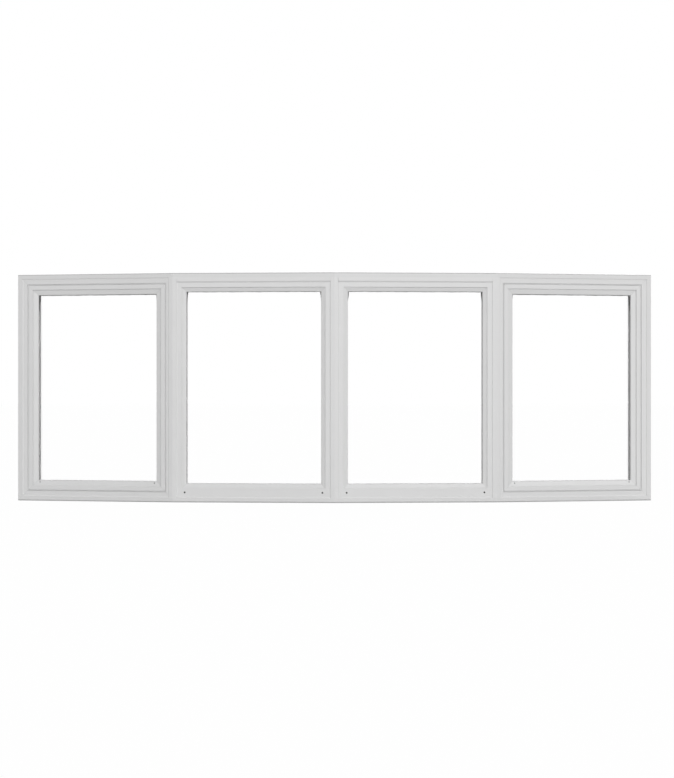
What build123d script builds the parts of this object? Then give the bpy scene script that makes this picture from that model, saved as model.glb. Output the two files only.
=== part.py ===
from build123d import *
import os
from math import cos, radians, sin, tan

# Four-light bow window: two fixed lights in the middle, a casement at each end.
# Millimetres and degrees. Seen from outside, the outside is at -Y, left is -X, up is +Z.
# The origin is at the middle of the window's box, on the underside of its seat board.

# The lights and how they are turned
unit_width = 635.0          # each light's frame, edge to edge
unit_height = 878.0         # the same for all four
frame_depth = 70.0          # outside face to room face
bow_step = 10.0             # turn from one light to the next
joint_gap = 0.4             # between neighbouring frames at the room side

# Boards that box the window in
board_thickness = 18.0      # head and seat
side_board_thickness = 18.0
jamb_depth = 116.0          # end light's outside corner to the wall's room face
board_proud = 3.0           # boards stand out past the frames
board_edge_radius = 6.0     # outermost outside edge of the head and seat boards
fit_clearance = 0.2         # between pieces that slide together

# Joint covers
mull_cover_width = 30.0
mull_cover_thickness = 3.0
mull_stem_setback = 12.0    # stem stops this far from the room face
room_trim_width = 24.0
room_trim_thickness = 4.0

# Casement frame and sash sections
frame_face = 22.0
reveal_gap = 4.0            # open groove round the sash
reveal_depth = 5.0
seal_clearance = 0.3        # sash edge to frame behind the groove
stop_height = 12.0          # stop past the groove, which the sash closes against
stop_depth = 28.0
sash_face = 18.0
sash_leg = 21.0             # leg behind the glass, past the sash's face

# Fixed light sections
fixed_jamb_face = 31.0
fixed_rail_face = 40.0      # head and sill
fixed_leg = 17.0

# Glazing
bead_setback = 5.0          # face of the frame to face of the bead
bead_fall = 4.5             # slope of the bead towards the glass
bead_land = 3.0             # flat stretch beside the frame
glass_setback = 16.0        # face of the frame to face of the glass
pane_thickness = 3.0
pane_spacing = 12.0
glass_edge_gap = 4.0        # pane edge to the rebate
spacer_inset = 5.0          # pane edge to the spacer
spacer_sight_gap = 1.0      # spacer stops this far behind the bead's nose

# Edge rounding
face_radius = 1.6
nose_radius = 2.2
leg_radius = 1.5

# Drip strip under the head board of a fixed light
drip_height = 20.0
drip_proud = 4.0
drip_slope = 5.0            # height of its sloped lower edge
drip_lip = 1.0              # thickness left at the lowest edge

# Drain holes
sill_drain_radius = 3.2
sill_drain_height = 22.0
sill_drain_inset = 42.0
sill_drain_depth = 12.0
bead_drain_radius = 1.5
bead_drain_inset = 8.0
bead_drain_depth = 6.0

# Casement operator on the room side of the frame's sill
operator_length = 132.0
operator_depth = 26.0
operator_height = 24.0
operator_slope = 10.0
operator_setback = 1.0      # room face of the sash to the housing
crank_length = 92.0
crank_width = 12.0
crank_thickness = 6.0
crank_hub_radius = 9.0
crank_knob_radius = 7.0
crank_knob_length = 16.0
crank_standoff = 5.0

# Sash lock on the room face of the jamb beside the fixed light
lock_plate_width = 16.0
lock_plate_height = 92.0
lock_plate_thickness = 4.0
lock_plate_edge = 15.0      # frame's edge to the plate
lock_height_share = 0.34    # of the light's height
lock_boss_radius = 7.0
lock_boss_length = 9.0
lock_lever_length = 78.0
lock_lever_root = 13.0
lock_lever_tip = 8.0
lock_lever_thickness = 6.0

half_step = bow_step / 2
pitch = unit_width + joint_gap
stop_setback = frame_depth - stop_depth
leg_setback = glass_setback + 2 * pane_thickness + pane_spacing
sash_inset = frame_face + reveal_gap
room_face = sash_inset + stop_height


def turned(distance, angle):
    """A step of that length along a light that is turned by angle."""
    return Vector(distance * cos(radians(angle)), distance * sin(radians(angle)))


def outward(distance, angle):
    """A step of that length straight out of a light that is turned by angle."""
    return Vector(distance * sin(radians(angle)), -distance * cos(radians(angle)))


# Plan of the right half, from the joint in the middle to the end, before centring
unit_angles = [half_step, half_step + bow_step]
room_corners = [Vector(0, 0)]
for angle in unit_angles:
    room_corners.append(room_corners[-1] + turned(pitch, angle))
end_angle = unit_angles[-1]
end_corner = room_corners[-1] + turned(-joint_gap / 2, end_angle) + outward(frame_depth, end_angle)
side_board_inside = end_corner.X + fit_clearance
half_width = side_board_inside + side_board_thickness
wall_line = end_corner.Y + jamb_depth
front_line = -(frame_depth + board_proud) / cos(radians(half_step))
to_centre = Vector(0, -(wall_line + front_line) / 2)


def board_edge_at(x):
    """Y of the boards' outside edge beside the end light, at that X."""
    on_edge = room_corners[-1] + outward(frame_depth + board_proud, end_angle)
    return on_edge.Y + (x - on_edge.X) * tan(radians(end_angle))


def board_corner(index):
    """Corner of the boards' outside edge in front of that joint of the right half."""
    angle = index * bow_step
    reach = (frame_depth + board_proud) / cos(radians(half_step))
    return room_corners[index] + outward(reach, angle)


def mirrored(point):
    return Vector(-point.X, point.Y)


def slab(points, bottom, height):
    """An upright prism on a plan outline, moved to the centred plan."""
    outline = [tuple(p + to_centre)[:2] for p in points]
    return Pos(0, 0, bottom) * extrude(make_face(Polyline(*outline, close=True)), height, dir=(0, 0, 1))


def unit_place(number):
    """Location of light 1 to 4: outside face, middle of its width, foot of its frame."""
    side = -1 if number < 3 else 1
    index = 1 if number in (1, 4) else 0
    angle = unit_angles[index]
    centre = room_corners[index] + turned(pitch / 2, angle) + outward(frame_depth, angle)
    return Location((side * centre.X, centre.Y + to_centre.Y, board_thickness), (0, 0, side * angle))


def bar(outline, radii, length):
    """A length of a section. The outline's first value runs up from the light's edge
    towards the glass, its second from the outside in."""
    section = make_face(FilletPolyline(*outline, radius=radii, close=True))
    start = Plane(origin=(length / 2, 0, 0), x_dir=(0, 0, 1), z_dir=(-1, 0, 0))
    return extrude(start * section, length, dir=(-1, 0, 0))


def mitred(piece, length):
    """Cuts both ends of a bar at 45 degrees, short on the glass side."""
    over = 1.0
    corners = [(-length / 2 - over, -over), (length / 2 + over, -over), (0, length / 2)]
    wedge = extrude(Plane.XZ * make_face(Polyline(*corners, close=True)), length / 2, both=True)
    return piece & wedge


def around(width, height):
    """Places of the four sides of a rectangle, each with its length."""
    return {
        "sill": (Location((0, 0, 0)), width),
        "head": (Location((0, 0, height), (0, 180, 0)), width),
        "jamb_left": (Location((-width / 2, 0, height / 2), (0, 90, 0)), height),
        "jamb_right": (Location((width / 2, 0, height / 2), (0, -90, 0)), height),
    }


def mitred_ring(outline, radii, width, height):
    """Four mitred bars of one section round a rectangle, by side."""
    return {
        side: place * mitred(bar(outline, radii, length), length)
        for side, (place, length) in around(width, height).items()
    }


def casement_frame():
    """L section with an open groove at the outside and a stop at the room side."""
    outline = [
        (0, 0), (frame_face, 0), (frame_face, reveal_depth),
        (sash_inset - seal_clearance, reveal_depth), (sash_inset - seal_clearance, stop_setback),
        (room_face, stop_setback), (room_face, frame_depth), (0, frame_depth),
    ]
    radii = [0, face_radius, 0, 0, 0, leg_radius, leg_radius, 0]
    return mitred_ring(outline, radii, unit_width, unit_height)


def casement_sash(width, height):
    """Flat face, rebate for the glass and a leg behind it."""
    inner = sash_face + sash_leg
    outline = [
        (0, 0), (sash_face, 0), (sash_face, leg_setback), (inner, leg_setback),
        (inner, stop_setback), (0, stop_setback),
    ]
    radii = [face_radius, face_radius, 0, leg_radius, leg_radius, 0]
    sides = mitred_ring(outline, radii, width, height)
    return {side: Pos(0, 0, sash_inset) * piece for side, piece in sides.items()}


def fixed_section(face):
    """Flat face, rebate for the glass, a leg behind it and a lower step at the room side."""
    inner = face + fixed_leg
    outline = [
        (0, 0), (face, 0), (face, leg_setback), (inner, leg_setback),
        (inner, stop_setback), (room_face, stop_setback), (room_face, frame_depth), (0, frame_depth),
    ]
    return outline, [0, face_radius, 0, leg_radius, leg_radius, 0, leg_radius, 0]


def fixed_frame():
    """Head and sill run through, and the jambs are scribed to fit between them."""
    faces = {"sill": fixed_rail_face, "head": fixed_rail_face,
             "jamb_left": fixed_jamb_face, "jamb_right": fixed_jamb_face}
    sides = {}
    for side, (place, length) in around(unit_width, unit_height).items():
        sides[side] = place * bar(*fixed_section(faces[side]), length)
    for jamb in ("jamb_left", "jamb_right"):
        sides[jamb] = sides[jamb] - sides["sill"] - sides["head"]
    for x in (-1, 1):
        start = (x * (unit_width / 2 - sill_drain_inset), 0, sill_drain_height)
        drain = extrude(Plane(start, z_dir=(0, 1, 0)) * Circle(sill_drain_radius), sill_drain_depth)
        sides["sill"] = sides["sill"] - drain
    return sides


def beads(width, height, bead_width, bottom):
    """Four sloped glazing beads, mitred, from the rebate's wall to the edge of the view."""
    outline = [
        (0, bead_setback), (bead_land, bead_setback), (bead_width, bead_setback + bead_fall),
        (bead_width, glass_setback), (0, glass_setback),
    ]
    radii = [0, nose_radius, nose_radius, 0, 0]
    sides = mitred_ring(outline, radii, width, height)
    return {side: Pos(0, 0, bottom) * piece for side, piece in sides.items()}


def drain_beads(sides, width, bottom):
    """Small drain holes in the lower bead, near both ends of the pane."""
    for x in (-1, 1):
        start = (x * (width / 2 - bead_drain_inset - sash_leg), 0, bottom + bead_land + sash_leg / 2)
        hole = extrude(Plane(start, z_dir=(0, 1, 0)) * Circle(bead_drain_radius),
                       bead_setback + bead_drain_depth)
        sides["sill"] = sides["sill"] - hole
    return sides


def sheet(width, height, thickness, setback, bottom):
    """An upright rectangular plate across the light."""
    return Pos(0, setback + thickness / 2, bottom + height / 2) * Box(width, thickness, height)


def glass(width, height, bottom):
    """Two panes with a sealed space between them."""
    pane_width = width - 2 * glass_edge_gap
    pane_height = height - 2 * glass_edge_gap
    inner_setback = glass_setback + pane_thickness + pane_spacing
    return [
        sheet(pane_width, pane_height, pane_thickness, setback, bottom + glass_edge_gap)
        for setback in (glass_setback, inner_setback)
    ]


def spacer(width, height, leg, bottom):
    """Hollow rectangle between the panes, hidden by the beads seen square on."""
    outer = glass_edge_gap + spacer_inset
    inner = leg - spacer_sight_gap
    setback = glass_setback + pane_thickness
    solid = sheet(width - 2 * outer, height - 2 * outer, pane_spacing, setback, bottom + outer)
    hollow = sheet(width - 2 * inner, height - 2 * inner, pane_spacing, setback, bottom + inner)
    return solid - hollow


def bent_strip(width, thickness, lift):
    """Half plan of a strip bent over a joint, in the joint's own frame: its thickness is
    laid outward from a line that lies lift outside the frames' room faces."""
    middle_near = Vector(0, -lift / cos(radians(half_step)))
    middle_far = Vector(0, -(lift + thickness) / cos(radians(half_step)))
    near_edge = middle_near + turned(width / 2, half_step)
    far_edge = near_edge + outward(thickness, half_step)
    return [middle_near, near_edge, far_edge, middle_far]


def joint_slab(half_outline, number):
    """Prism on a half plan and its mirror image, at joint 1 to 3, between the boards.
    The half plan starts and ends on the joint's middle line."""
    index = abs(number - 2)
    side = -1 if number < 2 else 1
    angle = side * index * bow_step
    other_half = [mirrored(p) for p in reversed(half_outline) if p.X > 0]
    outline = [tuple(p)[:2] for p in half_outline + other_half]
    piece = extrude(make_face(Polyline(*outline, close=True)), unit_height, dir=(0, 0, 1))
    corner = room_corners[index]
    return Location((side * corner.X, corner.Y + to_centre.Y, board_thickness), (0, 0, angle)) * piece


def mull_post(number):
    """Outside cover bent over the joint, with a wedge stem between the two frames."""
    cover = bent_strip(mull_cover_width, mull_cover_thickness, frame_depth)
    stem_front = frame_depth / cos(radians(half_step))
    stem_back = mull_stem_setback
    slope = tan(radians(half_step))
    stem = [
        Vector(0, -stem_back), Vector(stem_back * slope, -stem_back),
        Vector((frame_depth - fit_clearance) * slope, -frame_depth), Vector(0, -stem_front),
    ]
    return joint_slab(cover, number) + joint_slab(stem, number)


def room_trim(number):
    """Strip bent into the joint on the room side."""
    strip = bent_strip(room_trim_width, room_trim_thickness, -room_trim_thickness)
    return joint_slab(strip, number)


def board():
    """Plan of the head and seat boards: four facets outside, straight at the wall."""
    right = [board_corner(1), Vector(half_width, board_edge_at(half_width)), Vector(half_width, wall_line)]
    return [board_corner(0)] + right + [mirrored(p) for p in reversed(right)]


def eased(piece, level):
    """Rounds a board's outside edges at that height, from one side board to the other."""
    edges = piece.edges().filter_by(lambda e: abs(e.center().Z - level) < fit_clearance)
    outside = edges.filter_by(lambda e: e.length < half_width and abs(e.tangent_at(0).X) > 0.5)
    return fillet(outside, board_edge_radius)


def side_board(side):
    points = [
        Vector(side_board_inside, board_edge_at(side_board_inside)),
        Vector(half_width, board_edge_at(half_width)),
        Vector(half_width, wall_line), Vector(side_board_inside, wall_line),
    ]
    if side < 0:
        points = [mirrored(p) for p in points]
    return slab(points, board_thickness, unit_height)


def jamb_filler(side):
    """Wedge between the end light and the side board, flush with the light's room face."""
    start = end_corner + turned(fit_clearance, end_angle)
    front = start - outward(mull_stem_setback, end_angle)
    back = start - outward(frame_depth, end_angle)
    board_side = side_board_inside - fit_clearance
    points = [front, Vector(board_side, front.Y), Vector(board_side, back.Y), back]
    if side < 0:
        points = [mirrored(p) for p in points]
    return slab(points, board_thickness, unit_height)


def drip_strip():
    """Strip on the head of a fixed light between two joint covers. Its face slopes back to
    a thin lip, hollowed behind, where rain drips off."""
    covered = mull_cover_width / 2 - frame_depth * tan(radians(half_step))
    length = unit_width - 2 * (covered + fit_clearance)
    outline = [
        (0, 0), (0, -drip_proud), (drip_height - drip_slope, -drip_proud), (drip_height, -drip_lip),
        (drip_height - drip_lip, 0),
    ]
    radii = [0, 0, face_radius, 0, 0]
    return Location((0, 0, unit_height), (0, 180, 0)) * bar(outline, radii, length)


def operator(side):
    """Housing on the frame's stop, with its crank folded along it, hub on that side."""
    seat = room_face
    front = stop_setback + operator_setback
    profile = [
        (seat, front), (seat + operator_height, front),
        (seat + operator_height, front + operator_depth - operator_slope),
        (seat + operator_height - operator_slope, front + operator_depth),
        (seat, front + operator_depth),
    ]
    housing = bar(profile, [0, face_radius, leg_radius, leg_radius, 0], operator_length)
    height = seat + (operator_height - operator_slope) / 2
    face = front + operator_depth
    hub_x = side * crank_length / 2
    hub = extrude(Plane((hub_x, face, height), z_dir=(0, 1, 0)) * Circle(crank_hub_radius * 0.75),
                  crank_standoff + crank_thickness)
    arm = Pos(0, face + crank_standoff + crank_thickness / 2, height) * Box(
        crank_length + crank_width, crank_thickness, crank_width)
    arm = fillet(arm.edges().filter_by(Axis.Y), crank_width / 2 - fit_clearance)
    knob = extrude(
        Plane((-hub_x, face + crank_standoff + crank_thickness, height), z_dir=(0, 1, 0))
        * Circle(crank_knob_radius), crank_knob_length)
    knob = fillet(knob.edges().filter_by(GeomType.CIRCLE).sort_by(Axis.Y)[-1], face_radius)
    return housing + hub + arm + knob


def sash_lock(side):
    """Plate with a tapered lever on the jamb's room face, on that side of the light."""
    x = side * (unit_width / 2 - lock_plate_edge - lock_plate_width / 2)
    z = unit_height * lock_height_share
    plate = Pos(x, frame_depth + lock_plate_thickness / 2, z) * Box(
        lock_plate_width, lock_plate_thickness, lock_plate_height)
    plate = fillet(plate.edges().filter_by(Axis.Y), lock_plate_width / 4)
    face = frame_depth + lock_plate_thickness
    boss = extrude(Plane((x, face, z), z_dir=(0, 1, 0)) * Circle(lock_boss_radius), lock_boss_length)
    tip = z - lock_lever_length
    lever_outline = [
        (x - lock_lever_root / 2, z + lock_lever_root / 2), (x + lock_lever_root / 2, z + lock_lever_root / 2),
        (x + lock_lever_tip / 2, tip), (x - lock_lever_tip / 2, tip),
    ]
    lever_face = make_face(FilletPolyline(*lever_outline, radius=lock_lever_tip / 3, close=True))
    lever_start = Plane((0, face + lock_boss_length, 0), x_dir=(1, 0, 0), z_dir=(0, -1, 0))
    lever = extrude(lever_start * lever_face, lock_lever_thickness, dir=(0, -1, 0))
    return plate + boss + lever


os.makedirs("parts", exist_ok=True)


def write(name, pieces):
    """Writes one node: a piece, or several that don't touch."""
    pieces = pieces if isinstance(pieces, list) else [pieces]
    solids = [solid for piece in pieces for solid in piece.solids()]
    export_step(solids[0] if len(solids) == 1 else Compound(children=solids), f"parts/{name}.step")


def write_sides(prefix, sides, place):
    for side, piece in sides.items():
        write(f"{prefix}_{side}", place * piece)


spacers = []
for number in (1, 2, 3, 4):
    place = unit_place(number)
    if number in (1, 4):
        sash_width = unit_width - 2 * sash_inset
        sash_height = unit_height - 2 * sash_inset
        write_sides(f"frame_{number}", casement_frame(), place)
        write_sides(f"sash_{number}", casement_sash(sash_width, sash_height), place)
        rebate_width = sash_width - 2 * sash_face
        rebate_height = sash_height - 2 * sash_face
        bottom, leg = sash_inset + sash_face, sash_leg
        bead_ring = drain_beads(beads(rebate_width, rebate_height, leg, bottom), rebate_width, bottom)
    else:
        write_sides(f"frame_{number}", fixed_frame(), place)
        rebate_width = unit_width - 2 * fixed_jamb_face
        rebate_height = unit_height - 2 * fixed_rail_face
        bottom, leg = fixed_rail_face, fixed_leg
        bead_ring = beads(rebate_width, rebate_height, leg, bottom)
    write(f"glazing_beads_{number}", [place * bead for bead in bead_ring.values()])
    write(f"glass_{number}", [place * pane for pane in glass(rebate_width, rebate_height, bottom)])
    spacers.append(place * spacer(rebate_width, rebate_height, leg, bottom))
write("glass_spacers", spacers)

whole_height = unit_height + 2 * board_thickness
write("head_board", eased(slab(board(), board_thickness + unit_height, board_thickness), whole_height))
write("seat_board", eased(slab(board(), 0, board_thickness), 0))
write("side_board_left", side_board(-1))
write("side_board_right", side_board(1))
write("jamb_fillers", [jamb_filler(-1), jamb_filler(1)])

for number in (1, 2, 3):
    write(f"mull_post_{number}", mull_post(number))
write("room_joint_trims", [room_trim(number) for number in (1, 2, 3)])
write("drip_strips", [unit_place(number) * drip_strip() for number in (2, 3)])

write("operator_left", unit_place(1) * operator(-1))
write("operator_right", unit_place(4) * operator(1))
write("sash_lock_left", unit_place(1) * sash_lock(1))
write("sash_lock_right", unit_place(4) * sash_lock(-1))
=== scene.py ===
from math import cos, pi, radians, sin, tan

import bmesh
import bpy
import numpy as np
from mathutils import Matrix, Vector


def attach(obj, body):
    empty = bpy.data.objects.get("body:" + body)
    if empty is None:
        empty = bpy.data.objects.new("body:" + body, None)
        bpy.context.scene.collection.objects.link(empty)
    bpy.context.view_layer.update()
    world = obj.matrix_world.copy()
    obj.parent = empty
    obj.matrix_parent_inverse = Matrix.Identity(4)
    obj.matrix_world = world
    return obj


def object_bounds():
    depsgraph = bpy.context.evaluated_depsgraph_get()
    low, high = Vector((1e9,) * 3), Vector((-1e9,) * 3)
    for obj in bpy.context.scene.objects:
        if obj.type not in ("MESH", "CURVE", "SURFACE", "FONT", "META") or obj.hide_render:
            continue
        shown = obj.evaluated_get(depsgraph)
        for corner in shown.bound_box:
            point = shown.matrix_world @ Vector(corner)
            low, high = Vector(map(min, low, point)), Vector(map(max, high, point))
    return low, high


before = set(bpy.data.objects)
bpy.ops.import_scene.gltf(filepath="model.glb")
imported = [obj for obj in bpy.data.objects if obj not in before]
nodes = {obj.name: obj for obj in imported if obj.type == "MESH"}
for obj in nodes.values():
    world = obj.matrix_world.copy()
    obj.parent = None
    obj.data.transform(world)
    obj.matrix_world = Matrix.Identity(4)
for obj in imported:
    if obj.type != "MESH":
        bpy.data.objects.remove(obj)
cad_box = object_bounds()
low, high = np.array(cad_box[0]), np.array(cad_box[1])


# The camera and the studio. A bow window is pictured from far off with a long lens, level
# with its middle, so that the four lights are seen nearly square on. It stands on a white
# floor that keeps a faint shadow, before a ground that is white to the eye.
camera_distance = 9.6
camera_aside = 0.0099
camera_below = 0.0053
camera_focal_pixels = 2424.0
picture_height = 778.0
sensor_side = 36.0
view_limit = 200.0
ambient_strength = 0.52
floor_reach = 60.0
floor_whiteness = 0.985
floor_grey = "#d6d6d6"
camera = bpy.data.objects.new("camera", bpy.data.cameras.new("camera"))
bpy.context.scene.collection.objects.link(camera)
camera.location = (camera_aside, low[1] - camera_distance, high[2] / 2 - camera_below)
camera.rotation_euler = (pi / 2, 0, 0)
camera.data.sensor_width = sensor_side
camera.data.sensor_fit = "AUTO"
camera.data.lens = sensor_side * camera_focal_pixels / picture_height
camera.data.clip_end = view_limit
bpy.context.scene.camera = camera
bpy.context.scene.view_settings.view_transform = "Standard"


def linear(hex_colour):
    """sRGB hex to linear RGBA: each channel over 255, then the sRGB curve undone."""
    channels = np.array([int(hex_colour[i:i + 2], 16) for i in (1, 3, 5)]) / 255
    undone = np.where(channels <= 0.04045, channels / 12.92, ((channels + 0.055) / 1.055) ** 2.4)
    return (*undone, 1.0)


def add(tree, kind, feeds=None, settings=None, **inputs):
    """Adds a node. Feeds maps a socket's name or number to the output or the value that it
    takes, settings are the node's properties, and inputs are values by the socket's name,
    with underscores for its spaces."""
    node = tree.nodes.new(kind)
    for key, value in (settings or {}).items():
        setattr(node, key, value)
    for key, value in inputs.items():
        node.inputs[key.replace("_", " ")].default_value = value
    for key, feed in (feeds or {}).items():
        if isinstance(feed, bpy.types.NodeSocket):
            tree.links.new(feed, node.inputs[key])
        else:
            node.inputs[key].default_value = feed
    return node


def seen_as_white(tree):
    """1 for a camera, glossy or transmission ray, which see the ground, and else 0."""
    path = add(tree, "ShaderNodeLightPath").outputs
    either = add(tree, "ShaderNodeMath", {0: path["Is Camera Ray"], 1: path["Is Glossy Ray"]},
                 {"operation": "MAXIMUM"})
    return add(tree, "ShaderNodeMath", {0: either.outputs[0], 1: path["Is Transmission Ray"]},
               {"operation": "MAXIMUM"}).outputs[0]


world = bpy.data.worlds.new("studio")
bpy.context.scene.world = world
world.use_nodes = True
sky = world.node_tree
sky.nodes.clear()
ambient = add(sky, "ShaderNodeBackground", Color=linear("#ffffff"), Strength=ambient_strength)
ground = add(sky, "ShaderNodeBackground", Color=linear("#ffffff"), Strength=1.0)
chosen = add(sky, "ShaderNodeMixShader",
             {0: seen_as_white(sky), 1: ambient.outputs[0], 2: ground.outputs[0]})
add(sky, "ShaderNodeOutputWorld", {"Surface": chosen.outputs[0]})


def new_material(name):
    """A material whose node tree is still empty, and that tree."""
    material = bpy.data.materials.new(name)
    material.use_nodes = True
    material.node_tree.nodes.clear()
    return material, material.node_tree


floor_corners = floor_reach * np.array([(-1, -1, 0), (1, -1, 0), (1, 1, 0), (-1, 1, 0)])
floor_mesh = bpy.data.meshes.new("floor")
floor_mesh.from_pydata(floor_corners.tolist(), [], [(0, 1, 2, 3)])
floor = bpy.data.objects.new("floor", floor_mesh)
bpy.context.scene.collection.objects.link(floor)
white_floor, tree = new_material("painted_studio_floor")
lit = add(tree, "ShaderNodeBsdfDiffuse", Color=linear(floor_grey))
white = add(tree, "ShaderNodeEmission", Color=linear("#ffffff"), Strength=1.0)
share = add(tree, "ShaderNodeMath", {0: seen_as_white(tree), 1: floor_whiteness},
            {"operation": "MULTIPLY"})
mixed = add(tree, "ShaderNodeMixShader",
            {0: share.outputs[0], 1: lit.outputs[0], 2: white.outputs[0]})
add(tree, "ShaderNodeOutputMaterial", {"Surface": mixed.outputs[0]})
floor_mesh.materials.append(white_floor)


def far_softbox(name, aside, above, spread, strength):
    """A wide, even lamp far off. In degrees, it stands aside from straight in front of the
    window and above level, and its spread is the angle that it fills."""
    lamp = bpy.data.lights.new(name, "SUN")
    lamp.angle = radians(spread)
    lamp.energy = strength
    thing = bpy.data.objects.new(name, lamp)
    bpy.context.scene.collection.objects.link(thing)
    thing.rotation_euler = (radians(90 - above), 0, radians(aside))


far_softbox("key_softbox", aside=26, above=24, spread=16, strength=0.85)
far_softbox("front_softbox", aside=0, above=12, spread=20, strength=0.7)
far_softbox("back_softbox", aside=155, above=35, spread=40, strength=1.0)


# The boards that box the window in. Head, seat and side boards are planed softwood with a
# primer and two coats of white satin paint, brushed on lengthwise, which leaves faint ridges
# and streaks. Near the head's top and the seat's underside the paint is darkened to grey:
# painted shade along the outer edges.
paint_white = "#d5d5d5"
paint_shade = "#cfcfcf"
edge_shade_grey = "#b0b0b0"

# Painted shade: the paint darkens to grey between these distances from the head's top or
# the seat's underside.
edge_shade_start = 0.0045
edge_shade_full = 0.0020

# The widest bands of the noise are this many spacings wide; its finer ones come near one.
# Along the board the pattern's scale is board_draw times that across it.
grain_spacing = 0.0035
grain_widest = 6
brush_spacing = 0.0012
brush_widest = 4
board_draw = 0.03

# A colour mix node takes its two colours on these inputs and gives their mix on this output.
first_colour, second_colour, mixed_colour = 6, 7, 2


def painted_board(name, along):
    """Satin paint over wood. Grain is noise drawn out along the board's length, brush marks
    are finer noise drawn out as much, and the sheen varies a little with them. Near the
    window's top and bottom the paint darkens to grey with the distance from half its
    height: painted shade along the boards' outer edges."""
    material, tree = new_material(name)
    place = add(tree, "ShaderNodeTexCoord").outputs["Object"]
    stretch = [1.0, 1.0, 1.0]
    stretch[along] = board_draw
    drawn = add(tree, "ShaderNodeMapping", {"Vector": place}, Scale=stretch).outputs[0]
    grain = add(tree, "ShaderNodeTexNoise", {"Vector": drawn},
                Scale=1 / grain_spacing / grain_widest, Detail=4.0, Distortion=0.4).outputs[0]
    brushed = add(tree, "ShaderNodeTexNoise", {"Vector": drawn},
                  Scale=1 / brush_spacing / brush_widest, Detail=2.0).outputs[0]
    colour = add(tree, "ShaderNodeMix",
                 {"Factor": grain, first_colour: linear(paint_white),
                  second_colour: linear(paint_shade)}, {"data_type": "RGBA"})
    height = add(tree, "ShaderNodeSeparateXYZ", {0: place}).outputs[2]
    offset = add(tree, "ShaderNodeMath", {0: height, 1: high[2] / 2}, {"operation": "SUBTRACT"})
    away = add(tree, "ShaderNodeMath", {0: offset.outputs[0]}, {"operation": "ABSOLUTE"})
    # Painted shade: grey at the boards' outer edges, the head's top and the seat's underside.
    edge_shade = add(tree, "ShaderNodeMapRange", {"Value": away.outputs[0]},
               {"interpolation_type": "SMOOTHSTEP"},
               From_Min=high[2] / 2 - edge_shade_start, From_Max=high[2] / 2 - edge_shade_full)
    with_edge_shade = add(tree, "ShaderNodeMix",
                 {"Factor": edge_shade.outputs[0], first_colour: colour.outputs[mixed_colour],
                  second_colour: linear(edge_shade_grey)}, {"data_type": "RGBA"})
    sheen = add(tree, "ShaderNodeMapRange", {"Value": brushed}, To_Min=0.38, To_Max=0.5)
    ridges = add(tree, "ShaderNodeBump", {"Height": grain}, Strength=0.12, Distance=0.0006)
    streaks = add(tree, "ShaderNodeBump", {"Height": brushed, "Normal": ridges.outputs[0]},
                  Strength=0.1, Distance=0.0002)
    shader = add(tree, "ShaderNodeBsdfPrincipled",
                 {"Base Color": with_edge_shade.outputs[mixed_colour], "Roughness": sheen.outputs[0],
                  "Normal": streaks.outputs[0]}, IOR=1.5)
    add(tree, "ShaderNodeOutputMaterial", {"Surface": shader.outputs[0]})
    return material


def dress(names, material):
    """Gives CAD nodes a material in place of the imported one."""
    for name in names:
        mesh = nodes[name].data
        mesh.materials.clear()
        mesh.materials.append(material)


lengthwise = painted_board("satin_paint_on_long_board", along=0)
upright = painted_board("satin_paint_on_upright_board", along=2)
dress(["head_board", "seat_board"], lengthwise)
dress(["side_board_left", "side_board_right", "jamb_fillers"], upright)


# Where the four lights stand. Each is a straight frame, turned ten degrees from the next,
# its room-side corners meeting on a bow. Pieces that follow are laid out flat in their
# light's own plane, and this turns and moves them to it.
light_width = 0.635
light_height = 0.878
frame_depth = 0.070
board_thickness = 0.018
jamb_depth = 0.116
turn = 10.0
pitch = 0.6354
light_angles = {1: -turn * 1.5, 2: -turn / 2, 3: turn / 2, 4: turn * 1.5}
lights = (1, 2, 3, 4)
casements = (1, 4)
fixed_lights = (2, 3)


def chain_of_corners():
    """Room-side corners of the right half, each a pitch further along its light's turn."""
    corners = [np.zeros(2)]
    for number in (3, 4):
        angle = radians(light_angles[number])
        corners.append(corners[-1] + pitch * np.array([cos(angle), sin(angle)]))
    return corners


room_corners = chain_of_corners()
end_angle = radians(light_angles[4])
end_outside = room_corners[2] + frame_depth * np.array([sin(end_angle), -cos(end_angle)])
plan_shift = high[1] - jamb_depth - end_outside[1]


def light_centre(number):
    """Plan point of a light's outside face at the middle of its width: half a pitch on from
    its inner room-side corner, then out by the frame's depth, mirrored for the left half."""
    side = 1 if number > 2 else -1
    near = room_corners[1 if number in casements else 0]
    angle = radians(abs(light_angles[number]))
    middle = near + pitch / 2 * np.array([cos(angle), sin(angle)])
    middle = middle + frame_depth * np.array([sin(angle), -cos(angle)])
    return np.array([side * middle[0], middle[1] + plan_shift])


def stand(points, number):
    """Turns points (across, into the room, up from the frame's foot) by their light's angle
    about the upright, and moves them to its centre and onto the seat board."""
    points = np.asarray(points, float)
    angle = radians(light_angles[number])
    across, inward, up = points[..., 0], points[..., 1], points[..., 2]
    centre = light_centre(number)
    return np.stack([centre[0] + across * cos(angle) - inward * sin(angle),
                     centre[1] + across * sin(angle) + inward * cos(angle),
                     board_thickness + up], axis=-1)


# The frames. White uPVC is extruded through a polished die, which leaves a satin skin with
# faint lines along the bar. Casement frames and sashes are cut at 45 degrees, welded and
# dressed back, so a fine groove crosses each corner.
vinyl_white = "#d6d6d6"
vinyl_shade = "#d2d2d2"
weld_grey = "#bdbdbd"
weld_width = 0.0009
weld_relief = 0.25
lines_beside_weld = 0.15
cloud_size = 1 / 9          # 111 mm

# Real die lines are finer than a millimetre; these are coarser, to show in a close view.
die_line_spacing = 0.0022
die_line_widest = 4
die_line_draw = 0.012
die_line_relief = 0.06


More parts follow.
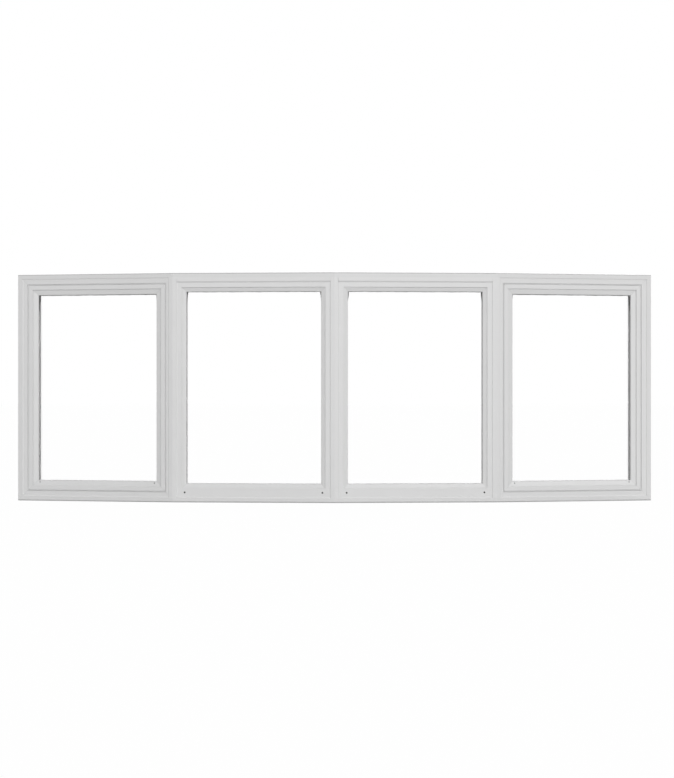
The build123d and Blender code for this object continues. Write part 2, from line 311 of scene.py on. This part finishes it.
def vinyl(name, number, is_upright, corner=None):
    """Extruded uPVC on a light. Die lines are noise that changes across the bar only, in the
    light's own turned plane. Where corner gives a ring's half width and half height, the
    weld is the line on which both distances to the ring's sides are equal."""
    material, tree = new_material(name)
    place = add(tree, "ShaderNodeTexCoord").outputs["Object"]
    middle = (*light_centre(number), board_thickness + light_height / 2)
    moved = add(tree, "ShaderNodeVectorMath", {0: place, 1: middle}, {"operation": "SUBTRACT"})
    flat = add(tree, "ShaderNodeVectorRotate", {"Vector": moved.outputs[0]},
               {"rotation_type": "Z_AXIS"}, Angle=-radians(light_angles[number])).outputs[0]
    stretch = (1.0, 1.0, die_line_draw) if is_upright else (die_line_draw, 1.0, 1.0)
    drawn = add(tree, "ShaderNodeMapping", {"Vector": flat}, Scale=stretch).outputs[0]
    lines = add(tree, "ShaderNodeTexNoise", {"Vector": drawn},
                Scale=1 / die_line_spacing / die_line_widest, Detail=3.0).outputs[0]
    cloud = add(tree, "ShaderNodeTexNoise", {"Vector": flat}, Scale=1 / cloud_size, Detail=2.0)
    skin = add(tree, "ShaderNodeMix",
               {"Factor": cloud.outputs[0], first_colour: linear(vinyl_white),
                second_colour: linear(vinyl_shade)}, {"data_type": "RGBA"})
    colour = skin.outputs[mixed_colour]
    height = lines
    if corner:
        split = add(tree, "ShaderNodeSeparateXYZ", {0: flat}).outputs
        gaps = []
        for axis, half in ((0, corner[0]), (2, corner[1])):
            size = add(tree, "ShaderNodeMath", {0: split[axis]}, {"operation": "ABSOLUTE"})
            gap = add(tree, "ShaderNodeMath", {0: size.outputs[0], 1: half},
                      {"operation": "SUBTRACT"})
            gaps.append(gap.outputs[0])
        uneven = add(tree, "ShaderNodeMath", {0: gaps[0], 1: gaps[1]}, {"operation": "SUBTRACT"})
        apart = add(tree, "ShaderNodeMath", {0: uneven.outputs[0]}, {"operation": "ABSOLUTE"})
        weld = add(tree, "ShaderNodeMapRange", {"Value": apart.outputs[0]},
                   {"interpolation_type": "SMOOTHSTEP"},
                   From_Min=0.0, From_Max=weld_width, To_Min=1.0, To_Max=0.0).outputs[0]
        dulled = add(tree, "ShaderNodeMix",
                     {"Factor": weld, first_colour: colour, second_colour: linear(weld_grey)},
                     {"data_type": "RGBA"})
        colour = dulled.outputs[mixed_colour]
        faint = add(tree, "ShaderNodeMath", {0: lines, 1: lines_beside_weld},
                    {"operation": "MULTIPLY"})
        sunk = add(tree, "ShaderNodeMath", {0: faint.outputs[0], 1: weld},
                   {"operation": "SUBTRACT"})
        height = sunk.outputs[0]
    sheen = add(tree, "ShaderNodeMapRange", {"Value": lines}, To_Min=0.38, To_Max=0.5)
    relief = add(tree, "ShaderNodeBump", {"Height": height},
                 Strength=weld_relief if corner else die_line_relief, Distance=0.0004)
    shader = add(tree, "ShaderNodeBsdfPrincipled",
                 {"Base Color": colour, "Roughness": sheen.outputs[0],
                  "Normal": relief.outputs[0]}, IOR=1.53)
    add(tree, "ShaderNodeOutputMaterial", {"Surface": shader.outputs[0]})
    return material


for number in lights:
    halves = (light_width / 2, light_height / 2) if number in casements else None
    rail = vinyl(f"extruded_upvc_rail_{number}", number, False, halves)
    jamb = vinyl(f"extruded_upvc_jamb_{number}", number, True, halves)
    dress([f"frame_{number}_head", f"frame_{number}_sill"], rail)
    dress([f"frame_{number}_jamb_left", f"frame_{number}_jamb_right"], jamb)


# Drain sleeves. Two holes in each fixed sill, and two small ones in the lower bead of each
# casement, let rain out. A black sleeve with a thin collar lines each, its black painted
# shade for the dark hollow behind the hole; in the beads, which slope, the collar is sunk on
# one side.
sleeve_radius = 0.00315
sleeve_wall = 0.0003
sleeve_depth = 0.0115
sleeve_height = 0.022
sleeve_inset = 0.042
flange_radius = 0.0036
flange_proud = 0.0003
bead_sleeve_radius = 0.00145
bead_sleeve_wall = 0.0002
bead_collar_radius = 0.0020
bead_collar_front = 0.0070
bead_collar_back = 0.0080
bead_sleeve_end = 0.0108
bead_sleeve_across = 0.2445
bead_sleeve_height = 0.0575
# Painted shade: the sleeves are near-black to stand in for the shade inside each drain.
drain_shade_black = "#2a2a2a"
spark_grain = 1 / 1400      # 0.7 mm


def drain_shade_plastic():
    """Near-black plastic, painted shade for the hollow behind each hole: a fine spark-eroded
    grain breaks up a low sheen.
    """
    material, tree = new_material("black_drain_lining_painted_shade")
    place = add(tree, "ShaderNodeTexCoord").outputs["Object"]
    grain = add(tree, "ShaderNodeTexNoise", {"Vector": place}, Scale=1 / spark_grain, Detail=2.0)
    sheen = add(tree, "ShaderNodeMapRange", {"Value": grain.outputs[0]}, To_Min=0.5, To_Max=0.65)
    relief = add(tree, "ShaderNodeBump", {"Height": grain.outputs[0]},
                 Strength=0.2, Distance=0.0001)
    shader = add(tree, "ShaderNodeBsdfPrincipled",
                 {"Roughness": sheen.outputs[0], "Normal": relief.outputs[0]},
                 Base_Color=linear(drain_shade_black), IOR=1.49)
    add(tree, "ShaderNodeOutputMaterial", {"Surface": shader.outputs[0]})
    return material


def closed_shell(name, grid, wrap_rows, material):
    """A closed surface from a grid of points, rows by columns. Its columns close on
    themselves, and its rows too where wrap_rows says so; otherwise the first and last row
    each shrink to one point. Quads join neighbours, and if the signed volume that they
    close, a third of face centre times area vector summed, is negative, they are reversed."""
    rows, columns = grid.shape[:2]
    row = np.arange(rows if wrap_rows else rows - 1)[:, None]
    column = np.arange(columns)[None, :]
    next_row, next_column = (row + 1) % rows, (column + 1) % columns
    faces = np.stack([row * columns + column, row * columns + next_column,
                      next_row * columns + next_column, next_row * columns + column], axis=-1)
    faces = faces.reshape(-1, 4)
    points = grid.reshape(-1, 3)
    a, b, c, d = (points[faces[:, k]] for k in range(4))
    if np.sum((a + b + c + d) * np.cross(c - a, d - b)) < 0:
        faces = faces[:, ::-1]
    mesh = bpy.data.meshes.new(name)
    mesh.from_pydata(points.tolist(), [], faces.tolist())
    shell = bmesh.new()
    shell.from_mesh(mesh)
    bmesh.ops.remove_doubles(shell, verts=shell.verts, dist=1e-7)
    shell.to_mesh(mesh)
    shell.free()
    mesh.materials.append(material)
    piece = bpy.data.objects.new(name, mesh)
    bpy.context.scene.collection.objects.link(piece)
    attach(piece, "root")
    return piece


def smooth(piece, degrees):
    """Shades a piece smooth except across edges sharper than that."""
    mesh = piece.data
    mesh.polygons.foreach_set("use_smooth", np.ones(len(mesh.polygons), bool))
    mesh.set_sharp_from_angle(angle=radians(degrees))


def turned_piece(name, profile, place, number, material, steps=28):
    """A turned piece on an axis that runs into the room from its place: each profile point
    is a radius and a depth, carried round a full circle, and the first and the last lie on
    the axis."""
    angle = np.linspace(0, 2 * pi, steps, endpoint=False)[None, :]
    radius, depth = np.asarray(profile, float).T[..., None]
    across, inward, up = place
    grid = np.stack([across + radius * np.cos(angle), inward + depth + 0 * angle,
                     up + radius * np.sin(angle)], axis=-1)
    piece = closed_shell(name, stand(grid, number), False, material)
    smooth(piece, degrees=40)


drain_shade_finish = drain_shade_plastic()
sleeve_bore = sleeve_radius - sleeve_wall
sleeve_floor = sleeve_depth - sleeve_wall
sleeve_profile = [(0, sleeve_floor), (sleeve_bore, sleeve_floor), (sleeve_bore, -flange_proud),
                  (flange_radius - flange_proud, -flange_proud), (flange_radius, 0),
                  (sleeve_radius, 0), (sleeve_radius, sleeve_depth), (0, sleeve_depth)]
for number in fixed_lights:
    for side, word in ((-1, "left"), (1, "right")):
        place = (side * (light_width / 2 - sleeve_inset), 0, sleeve_height)
        turned_piece(f"drain_sleeve_{number}_{word}", sleeve_profile, place, number,
                     drain_shade_finish)
bead_bore = bead_sleeve_radius - bead_sleeve_wall
bead_floor = bead_sleeve_end - bead_sleeve_wall
bead_sleeve_profile = [(0, bead_floor), (bead_bore, bead_floor), (bead_bore, bead_collar_front),
                       (bead_collar_radius, bead_collar_front),
                       (bead_collar_radius, bead_collar_back),
                       (bead_sleeve_radius, bead_collar_back),
                       (bead_sleeve_radius, bead_sleeve_end), (0, bead_sleeve_end)]
for number in casements:
    for side, word in ((-1, "left"), (1, "right")):
        place = (side * bead_sleeve_across, 0, bead_sleeve_height)
        turned_piece(f"bead_sleeve_{number}_{word}", bead_sleeve_profile, place, number,
                     drain_shade_finish)


# Sealant: white acrylic, gunned into every inside corner between boards, frames and joint
# covers, and drawn off with a wet finger, so it is hollow across and its width wanders.
room_bead = 0.0045
outside_bead = 0.0026
outside_reach = 2.2         # of its width
sealant_points = 7
sealant_step = 0.006
sealant_waves = ((0.08, 47, 1.3), (0.05, 131, 0.4))
sealant_white = "#dadada"
sealant_shade = "#d4d4d4"
skin_ripple = 0.00625

# Runs end at the room trims, at the wedge fillers, at the joint covers or at the drip strips.
trim_half_width = 0.0125
filler_reach = 0.0165
drip_height = 0.020
cover_half_width = 0.0150
cover_edge = cover_half_width - frame_depth * tan(radians(turn / 2)) - (pitch - light_width) / 2
to_outside, to_room = (0, -1, 0), (0, 1, 0)
to_top, to_bottom = (0, 0, 1), (0, 0, -1)
to_left, to_right = (-1, 0, 0), (1, 0, 0)


def acrylic_sealant():
    """Cured acrylic sealant, brushed over with the boards' paint: soft, dull and smooth."""
    material, tree = new_material("painted_acrylic_sealant")
    place = add(tree, "ShaderNodeTexCoord").outputs["Object"]
    skin = add(tree, "ShaderNodeTexNoise", {"Vector": place}, Scale=1 / skin_ripple, Detail=2.0)
    colour = add(tree, "ShaderNodeMix",
                 {"Factor": skin.outputs[0], first_colour: linear(sealant_white),
                  second_colour: linear(sealant_shade)}, {"data_type": "RGBA"})
    relief = add(tree, "ShaderNodeBump", {"Height": skin.outputs[0]},
                 Strength=0.15, Distance=0.0005)
    shader = add(tree, "ShaderNodeBsdfPrincipled",
                 {"Base Color": colour.outputs[mixed_colour], "Normal": relief.outputs[0]},
                 Roughness=0.55, IOR=1.48)
    add(tree, "ShaderNodeOutputMaterial", {"Surface": shader.outputs[0]})
    return material


def wandering(walked, waves):
    """One plus a sine for each wave: its share times the sine of its rate, in radians per
    metre, times the metres walked, plus its start."""
    return 1 + sum(share * np.sin(walked * rate + start) for share, rate, start in waves)


def sealant_run(name, start, end, legs, bead, number):
    """A run in an inside corner of a light, from start to end, points as (across, into the
    room, up). The legs lead away from the corner on its two faces, as long as the bead's
    reach over its width. Across, a quarter ellipse is hollowed out: at angle t a point lies
    the width times 1 - cos t along the first leg and 1 - sin t along the second. The width
    is the mean times two slow waves, for the hand's wander. The corner closes the section
    and both ends."""
    start, end = np.asarray(start, float), np.asarray(end, float)
    length = np.linalg.norm(end - start)
    along = np.linspace(0, 1, int(length / sealant_step))[:, None]
    width = bead * wandering(along * length + number, sealant_waves)
    t = np.linspace(0, pi / 2, sealant_points)[None, :]
    first = np.concatenate([width * (1 - np.cos(t)), 0 * along], axis=1)
    second = np.concatenate([width * (1 - np.sin(t)), 0 * along], axis=1)
    first[[0, -1]] = second[[0, -1]] = 0
    line = start + along[..., None] * (end - start)
    grid = line + first[..., None] * np.array(legs[0]) + second[..., None] * np.array(legs[1])
    piece = closed_shell(name, stand(grid, number), False, sealant)
    smooth(piece, degrees=50)


sealant = acrylic_sealant()
half_width = light_width / 2
long_corners = (("seat", 0, to_top), ("head", light_height, to_bottom))
for number in lights:
    fixed = number in fixed_lights
    start = -half_width - filler_reach if number == 1 else -half_width + trim_half_width
    end = half_width + filler_reach if number == 4 else half_width - trim_half_width
    for word, height, leg in long_corners:
        sealant_run(f"{word}_sealant_room_{number}", (start, frame_depth, height),
                    (end, frame_depth, height), (to_room, leg), room_bead, number)
    # Outside, a fixed light's drip strip covers the corner under the head board.
    outside_corners = long_corners[:1] if fixed else long_corners
    start = -half_width if number == 1 else -half_width + cover_edge
    end = half_width if number == 4 else half_width - cover_edge
    for word, height, leg in outside_corners:
        sealant_run(f"{word}_sealant_outside_{number}", (start, 0, height), (end, 0, height),
                    (to_outside, outside_reach * np.array(leg)), outside_bead, number)
    top = light_height - drip_height if fixed else light_height
    for word, across, leg in (("left", start, to_right), ("right", end, to_left)):
        sealant_run(f"{word}_sealant_outside_{number}", (across, 0, 0), (across, 0, top),
                    (to_outside, outside_reach * np.array(leg)), outside_bead, number)


# The two casement sashes, of the same uPVC, welded the same way inside their frames.
sash_inset = 0.026
for number in casements:
    halves = (light_width / 2 - sash_inset, light_height / 2 - sash_inset)
    rail = vinyl(f"extruded_upvc_sash_rail_{number}", number, False, halves)
    stile = vinyl(f"extruded_upvc_sash_stile_{number}", number, True, halves)
    dress([f"sash_{number}_head", f"sash_{number}_sill"], rail)
    dress([f"sash_{number}_jamb_left", f"sash_{number}_jamb_right"], stile)


# Sash seals: a hollow bulb of pale rubber lies in the open groove round each sash, its foot
# clipped into the frame. Another is clipped into the stop behind, and the closed sash
# squeezes the edge of it out into view on the room side.
groove_middle = 0.024
groove_floor = 0.005
bulb_radius = 0.0017
bulb_height = 0.0036
bulb_points = 11
stop_edge = 0.038
stop_back = 0.042
squeezed_radius = 0.0010
squeezed_points = 6
rubber_white = "#e0e0e0"
rubber_shade = "#dadada"
bloom_size = 1 / 60         # 17 mm


def soft_rubber():
    """Extruded thermoplastic rubber: matt, with a bloom that clouds its tone a little."""
    material, tree = new_material("extruded_pale_seal_rubber")
    place = add(tree, "ShaderNodeTexCoord").outputs["Object"]
    bloom = add(tree, "ShaderNodeTexNoise", {"Vector": place}, Scale=1 / bloom_size, Detail=3.0)
    colour = add(tree, "ShaderNodeMix",
                 {"Factor": bloom.outputs[0], first_colour: linear(rubber_white),
                  second_colour: linear(rubber_shade)}, {"data_type": "RGBA"})
    relief = add(tree, "ShaderNodeBump", {"Height": bloom.outputs[0]},
                 Strength=0.1, Distance=0.0002)
    shader = add(tree, "ShaderNodeBsdfPrincipled",
                 {"Base Color": colour.outputs[mixed_colour], "Normal": relief.outputs[0]},
                 Roughness=0.6, IOR=1.5)
    add(tree, "ShaderNodeOutputMaterial", {"Surface": shader.outputs[0]})
    return material


def seal_ring(name, section, insets, number):
    """A seal carried round an upright rectangle, which lies in from the light's edges by the
    insets across and up, and mitred at its corners. Each section point is a distance s from
    the rectangle's side, towards its middle, and a depth; at a corner it lies s in from
    both sides."""
    s, depth = np.asarray(section, float).T
    side = np.array([-1, 1, 1, -1])[:, None]
    top = np.array([0, 0, 1, 1])[:, None]
    across = side * (light_width / 2 - insets[0] - s[None, :])
    height = light_height - 2 * insets[1]
    up = insets[1] + top * height + (1 - 2 * top) * s[None, :]
    grid = np.stack([across, depth[None, :] + 0 * across, up], axis=-1)
    piece = closed_shell(name, stand(grid, number), True, pale_rubber)
    smooth(piece, degrees=50)


pale_rubber = soft_rubber()
bulb_angle = np.linspace(0, pi, bulb_points)
bulb = np.stack([groove_middle + bulb_radius * np.cos(bulb_angle),
                 groove_floor - bulb_height * np.sin(bulb_angle)], axis=1)
squeezed_angle = np.linspace(0, pi / 2, squeezed_points)
squeezed = np.stack([stop_edge + squeezed_radius * np.cos(squeezed_angle),
                     stop_back + squeezed_radius * np.sin(squeezed_angle)], axis=1)
squeezed = np.concatenate([[(stop_edge, stop_back)], squeezed])
for number in casements:
    seal_ring(f"sash_seal_{number}", bulb, (0, 0), number)
    seal_ring(f"stop_seal_{number}", squeezed, (0, 0), number)


# Glazing beads: small sloped uPVC bars that snap in and hold the glass, mitred but not
# welded, so the cut shows as a hairline.
light_kinds = {1: "casement", 2: "fixed", 3: "fixed", 4: "casement"}
bead_insets = {"casement": (0.044, 0.044), "fixed": (0.031, 0.040)}
for number in lights:
    inset_across, inset_up = bead_insets[light_kinds[number]]
    halves = (light_width / 2 - inset_across, light_height / 2 - inset_up)
    dress([f"glazing_beads_{number}"], vinyl(f"extruded_upvc_bead_{number}", number, True, halves))


# Glazing seals: a soft wedge welded to each bead's nose presses on the outer pane, and a
# second one on the leg behind presses on the inner pane.
daylight_insets = {"casement": (0.065, 0.065), "fixed": (0.048, 0.057)}
glass_outside = 0.016
glass_inside = 0.034
wedge = [(-0.0006, 0.0128), (0, 0.0131), (0.0003, 0.0142),
         (0.0004, glass_outside), (-0.0006, glass_outside)]
room_wedge = [(-0.0014, glass_inside), (0.0003, glass_inside), (0.0004, 0.0352),
              (0.0002, 0.0364), (-0.0003, 0.0368), (-0.0012, 0.0360)]
for number in lights:
    for word, section in (("outside", wedge), ("room", room_wedge)):
        seal_ring(f"glazing_seal_{word}_{number}", section,
                  daylight_insets[light_kinds[number]], number)


# The glass. Each light has two panes of 3 mm float glass, low in iron and so quite clear,
# about a sealed space that a grey foam spacer holds open.
film_size = 1 / 7           # 143 mm
foam_grey = "#b2b2b2"
foam_pale = "#bebebe"
# Painted shade: the spacer blackens to this towards its top, under the head.
spacer_shade_black = "#0c0c0c"
pit_size = 1 / 900          # 1.1 mm
shade_fade_height = 0.065
shade_full_height = 0.812


def float_glass():
    """Clear glass; handling leaves a film that changes its polish by a trace."""
    material, tree = new_material("float_glass")
    place = add(tree, "ShaderNodeTexCoord").outputs["Object"]
    film = add(tree, "ShaderNodeTexNoise", {"Vector": place}, Scale=1 / film_size, Detail=3.0)
    polish = add(tree, "ShaderNodeMapRange", {"Value": film.outputs[0]}, To_Min=0.0, To_Max=0.012)
    shader = add(tree, "ShaderNodeBsdfPrincipled", {"Roughness": polish.outputs[0]},
                 Base_Color=linear("#ffffff"), Transmission_Weight=1.0, IOR=1.52)
    add(tree, "ShaderNodeOutputMaterial", {"Surface": shader.outputs[0]})
    return material


def foam_spacer():
    """Silicone foam: mid grey, matt and slightly pitted. Towards the unit's top the grey
    blackens by a smooth step over the fade height: painted shade under the head."""
    material, tree = new_material("silicone_foam_spacer")
    place = add(tree, "ShaderNodeTexCoord").outputs["Object"]
    pits = add(tree, "ShaderNodeTexNoise", {"Vector": place}, Scale=1 / pit_size, Detail=2.0)
    colour = add(tree, "ShaderNodeMix",
                 {"Factor": pits.outputs[0], first_colour: linear(foam_grey),
                  second_colour: linear(foam_pale)}, {"data_type": "RGBA"})
    height = add(tree, "ShaderNodeSeparateXYZ", {0: place}).outputs[2]
    top_shade = add(tree, "ShaderNodeMapRange", {"Value": height},
                {"interpolation_type": "SMOOTHSTEP"},
                From_Min=shade_full_height - shade_fade_height, From_Max=shade_full_height)
    with_top_shade = add(tree, "ShaderNodeMix",
                  {"Factor": top_shade.outputs[0], first_colour: colour.outputs[mixed_colour],
                   second_colour: linear(spacer_shade_black)}, {"data_type": "RGBA"})
    relief = add(tree, "ShaderNodeBump", {"Height": pits.outputs[0]},
                 Strength=0.3, Distance=0.0003)
    shader = add(tree, "ShaderNodeBsdfPrincipled",
                 {"Base Color": with_top_shade.outputs[mixed_colour], "Normal": relief.outputs[0]},
                 Roughness=0.75, IOR=1.43)
    add(tree, "ShaderNodeOutputMaterial", {"Surface": shader.outputs[0]})
    return material


dress([f"glass_{number}" for number in lights], float_glass())
dress(["glass_spacers"], foam_spacer())


# Painted shade. A ragged black lip on the spacer along each pane's top edge, and short runs
# down from its upper corners, stand in for the shade under the head.
top_sag = {"casement": 0.0032, "fixed": 0.0024}
corner_sag = {"casement": 0.0080, "fixed": 0.0062}
top_fade = 0.0
corner_fade = 1.0
shade_lip_step = 0.003
shade_lip_points = 9
shade_lip_half_depth = 0.0057
shade_lip_waves = ((0.09, 61, 0), (0.06, 173, 1), (0.04, 419, 2))
# Painted shade under the head is this near-black.
shade_lip_black = "#0e0e0e"
rumple_size = 1 / 300       # 3.3 mm
pane_gap_middle = 0.025
spacer_sight_gap = 0.001


def shade_lip_material():
    """Near-black painted shade, rumpled enough to dull its shine."""
    material, tree = new_material("black_lip_painted_shade")
    place = add(tree, "ShaderNodeTexCoord").outputs["Object"]
    rumple = add(tree, "ShaderNodeTexNoise", {"Vector": place}, Scale=1 / rumple_size, Detail=2.0)
    sheen = add(tree, "ShaderNodeMapRange", {"Value": rumple.outputs[0]}, To_Min=0.4, To_Max=0.6)
    relief = add(tree, "ShaderNodeBump", {"Height": rumple.outputs[0]},
                 Strength=0.3, Distance=0.0005)
    shader = add(tree, "ShaderNodeBsdfPrincipled",
                 {"Roughness": sheen.outputs[0], "Normal": relief.outputs[0]},
                 Base_Color=linear(shade_lip_black), IOR=1.51)
    add(tree, "ShaderNodeOutputMaterial", {"Surface": shader.outputs[0]})
    return material


def shade_lip(name, start, end, toward, first_sag, fade, number):
    """A lip on the spacer's inner face from start to end, which bulges toward the daylight.
    Across, it is half an ellipse. Its sag is the first one times the share still to go,
    raised to the fade, times three waves. Its depth goes with the square root of that share
    where it fades. The outermost rows shrink to the spacer."""
    start, end = np.asarray(start, float), np.asarray(end, float)
    length = np.linalg.norm(end - start)
    along = np.linspace(0, 1, int(length / shade_lip_step))[:, None]
    sag = first_sag * (1 - along) ** fade * wandering(along * length + number, shade_lip_waves)
    sag[[0, -1]] = 0
    t = np.linspace(0, pi, shade_lip_points)[None, :]
    line = start + along[..., None] * (end - start)
    grid = line + (sag * np.sin(t))[..., None] * np.array(toward)
    grid[..., 1] += shade_lip_half_depth * np.cos(t) * (1 - along) ** (fade / 2)
    piece = closed_shell(name, stand(grid, number), False, shade_lip_finish)
    smooth(piece, degrees=50)


shade_lip_finish = shade_lip_material()
for number in lights:
    kind = light_kinds[number]
    reach = light_width / 2 - daylight_insets[kind][0] + spacer_sight_gap
    top = light_height - daylight_insets[kind][1] + spacer_sight_gap
    shade_lip(f"shade_lip_{number}", (-reach, pane_gap_middle, top),
              (reach, pane_gap_middle, top), to_bottom, top_sag[kind], top_fade, number)
    for side, word in ((-1, "left"), (1, "right")):
        shade_lip(f"shade_run_{number}_{word}", (side * reach, pane_gap_middle, top),
                  (side * reach, pane_gap_middle, top - shade_fade_height), (-side, 0, 0),
                  corner_sag[kind], corner_fade, number)


# The joint covers: bent uPVC strips over the three joints, with a wedge stem that keeps the
# frames apart, and a flatter strip bent the other way on the room side. A drip strip of the
# same uPVC, under the head board, throws rain clear of each fixed light.

# The light in whose plane each cover's die lines run.
light_beside_cover = {1: 2, 2: 2, 3: 3}
for joint, number in light_beside_cover.items():
    dress([f"mull_post_{joint}"], vinyl(f"extruded_upvc_cover_{joint}", number, True))
dress(["room_joint_trims"], vinyl("extruded_upvc_room_trim", 2, True))
dress(["drip_strips"], vinyl("extruded_upvc_drip_strip", 2, False))


# Operators and sash locks: die-cast zinc with a white powder coat, which bakes to a fine
# orange peel that breaks up the shine.
coat_white = "#d9d9d7"
coat_shade = "#d3d3d1"
peel_size = 1 / 650         # 1.5 mm


def powder_coat():
    """White powder coat: fine round noise for the peel, and a mild gloss."""
    material, tree = new_material("powder_coated_zinc")
    place = add(tree, "ShaderNodeTexCoord").outputs["Object"]
    peel = add(tree, "ShaderNodeTexNoise", {"Vector": place}, Scale=1 / peel_size, Detail=1.0)
    colour = add(tree, "ShaderNodeMix",
                 {"Factor": peel.outputs[0], first_colour: linear(coat_white),
                  second_colour: linear(coat_shade)}, {"data_type": "RGBA"})
    relief = add(tree, "ShaderNodeBump", {"Height": peel.outputs[0]},
                 Strength=0.2, Distance=0.0002)
    shader = add(tree, "ShaderNodeBsdfPrincipled",
                 {"Base Color": colour.outputs[mixed_colour], "Normal": relief.outputs[0]},
                 Roughness=0.33, IOR=1.5)
    add(tree, "ShaderNodeOutputMaterial", {"Surface": shader.outputs[0]})
    return material


coat = powder_coat()
dress(["operator_left", "operator_right", "sash_lock_left", "sash_lock_right"], coat)


# Screws that hold the operators and locks: pan heads with a cross recess, coated to match.
# A low domed cap is snapped over each crank's hub.
head_radius = 0.0033
head_height = 0.0017
recess_reach = 0.0019
recess_half_width = 0.00045
recess_depth = 0.0010
recess_steepness = 12000.0
screw_rings = 14
screw_steps = 48
lock_screw_spread = 0.037
lock_height = light_height * 0.34
lock_inset = 0.023
lock_plate_front = 0.004
operator_screw_spread = 0.060
operator_height = 0.045
operator_face = 0.069
hub_across = 0.046
hub_face = 0.080
cap_radius = 0.0048
cap_height = 0.0013
cap_points = 8


def pan_screw(name, place, number):
    """A pan head: height times the square root of one minus the cube of r over its radius.
    The recess is a cross, taken off where one coordinate is within its half width and the
    other within its reach, with edges softened by a steep logistic curve."""
    share = np.linspace(1, 0, screw_rings)[:, None]
    angle = np.linspace(0, 2 * pi, screw_steps, endpoint=False)[None, :]
    x, z = head_radius * share * np.cos(angle), head_radius * share * np.sin(angle)
    rise = head_height * np.sqrt(1 - share ** 3) + 0 * angle

    def within(value, limit):
        """Near 1 inside the limit and near 0 outside: one over one plus e to the steepness
        times how far the value is past it."""
        return 1 / (1 + np.exp(-recess_steepness * (limit - np.abs(value))))

    cross = np.maximum(within(x, recess_half_width) * within(z, recess_reach),
                       within(z, recess_half_width) * within(x, recess_reach))
    rise = rise - recess_depth * cross
    across, inward, up = place
    back = np.stack([across + 0 * angle, inward + 0 * angle, up + 0 * angle], axis=-1)
    dome = np.stack([across + x, inward + rise, up + z], axis=-1)
    grid = np.concatenate([back, dome], axis=0)
    piece = closed_shell(name, stand(grid, number), False, coat)
    smooth(piece, degrees=40)


cap_angle = np.linspace(0, pi / 2, cap_points)
cap_dome = np.stack([cap_radius * np.cos(cap_angle), cap_height * np.sin(cap_angle)], axis=1)
cap_profile = np.concatenate([[(0, 0)], cap_dome])
for number, word, side in ((1, "left", -1), (4, "right", 1)):
    turned_piece(f"hub_cap_{word}", cap_profile, (side * hub_across, hub_face, operator_height),
                 number, coat)
lock_face = frame_depth + lock_plate_front
for number, word, side in ((1, "left", 1), (4, "right", -1)):
    lock_across = side * (light_width / 2 - lock_inset)
    for step, end in ((-1, "low"), (1, "high")):
        pan_screw(f"lock_screw_{word}_{end}",
                  (lock_across, lock_face, lock_height + step * lock_screw_spread), number)
        pan_screw(f"operator_screw_{word}_{end}",
                  (step * operator_screw_spread, operator_face, operator_height), number)
